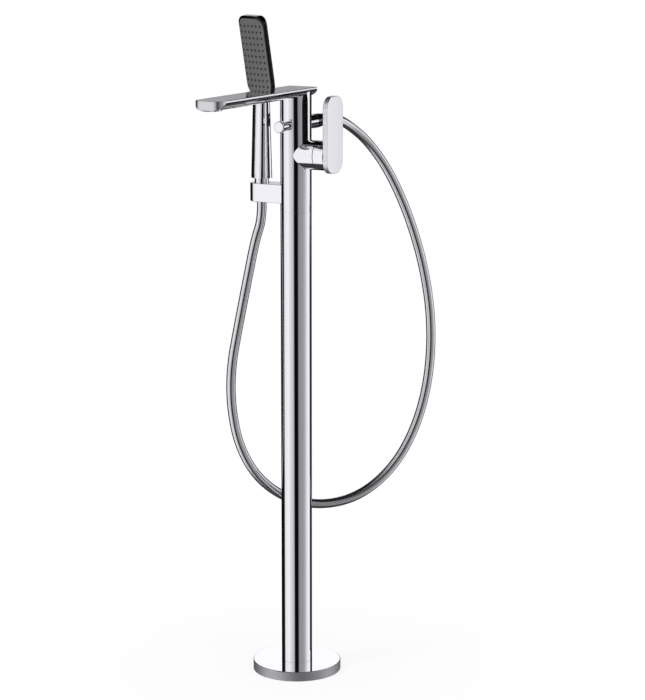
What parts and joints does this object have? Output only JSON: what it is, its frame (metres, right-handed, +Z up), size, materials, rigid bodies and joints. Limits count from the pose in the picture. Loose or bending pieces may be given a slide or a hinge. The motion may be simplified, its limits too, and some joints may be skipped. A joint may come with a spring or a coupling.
{
  "type": "floor standing bath filler",
  "caption": "Floor standing bath filler: round column on a disc base, side lever mixer, flat spout, pull diverter and a hand shower on a metal hose in a bracket.",
  "frame": {"origin": "on the column's axis at floor level", "axes": "+Z up, -Y along the spout, +X to the lever, -X to the hand shower, +Y to the hose outlet"},
  "size_m": [0.2553, 0.5121, 1.0719],
  "materials": {
    "chrome": "polished chrome plate",
    "chromed_plastic": "polished chrome plate on plastic",
    "hose_metal": "polished, finely ribbed metal hose",
    "steel": "bright stainless steel",
    "brass": "turned brass",
    "braid": "rubber hose with a steel braid",
    "black_rubber": "matte rubber",
    "white_plastic": "moulded plastic",
    "grey_plastic": "moulded plastic",
    "face_grey": "satin grey plastic",
    "ceramic": "lapped ceramic"
  },
  "bodies": {
    "stand": {"base_cover": "chrome", "base_seal_ring": "black_rubber", "floor_flange": "steel", "flange_spigot": "steel", "column_set_screws": "steel", "inlet_manifold": "brass", "inlet_check_valves": "white_plastic", "hot_supply_hose": "braid", "cold_supply_hose": "braid", "supply_nuts": "brass", "column_tube": "chrome", "joining_sleeve": "brass", "sleeve_screws": "steel", "spout": "chrome", "spout_nipple": "brass", "spout_stud": "steel", "aerator_housing": "chrome", "aerator_insert": "grey_plastic", "mixer_body": "chrome", "cartridge_seal": "black_rubber", "cartridge_body": "white_plastic", "fixed_ceramic_disc": "ceramic", "cartridge_nut": "brass", "dome_ring": "chrome", "diverter_bush": "chrome", "hose_outlet_union": "chrome", "outlet_check_valve": "white_plastic", "outlet_hose_nut": "chrome", "outlet_washer": "black_rubber", "outlet_ferrule": "brass", "shower_hose": "hose_metal", "handset_bracket": "chrome", "bracket_liner": "grey_plastic", "bracket_screws": "steel"},
    "lever_turret": {"cartridge_carrier": "white_plastic", "cartridge_pin": "steel"},
    "ceramic_disc": {"moving_ceramic_disc": "ceramic"},
    "lever": {"lever_stem": "brass", "lever_hub": "chrome", "lever_grub_screw": "steel", "lever_plate": "chrome", "lever_plate_screws": "steel"},
    "diverter": {"diverter_knob": "chrome", "diverter_spindle": "steel", "diverter_plunger": "brass"},
    "handset": {"handset_shell": "chromed_plastic", "spray_face": "face_grey", "nozzle_mat": "black_rubber", "handset_insert": "brass", "handset_hose_nut": "chrome", "handset_washer": "black_rubber", "handset_ferrule": "brass"}
  },
  "joints": [
    {"name": "lever_swivel", "type": "hinge", "parent": "stand", "child": "lever_turret", "pos_m": [0.025, 0, 0.854], "axis": [1, 0, 0], "range_deg": [-45, 45]},
    {"name": "lever_tilt", "type": "hinge", "parent": "lever_turret", "child": "lever", "pos_m": [0.025, 0, 0.854], "axis": [0, 1, 0], "range_deg": [0, 20]},
    {"name": "disc_slide", "type": "slide", "parent": "lever_turret", "child": "ceramic_disc", "axis": [0, 0, 1], "range_m": [0, 0.003]},
    {"name": "diverter_pull", "type": "slide", "parent": "stand", "child": "diverter", "axis": [0, -1, 0], "range_m": [0, 0.008]},
    {"name": "handset_lift", "type": "slide", "parent": "stand", "child": "handset", "axis": [0, 0, 1], "range_m": [0, 0.05]}
  ],
  "couplings": [
    {"joint": "disc_slide", "follows": "lever_tilt", "m_per_rad": 0.0082}
  ]
}
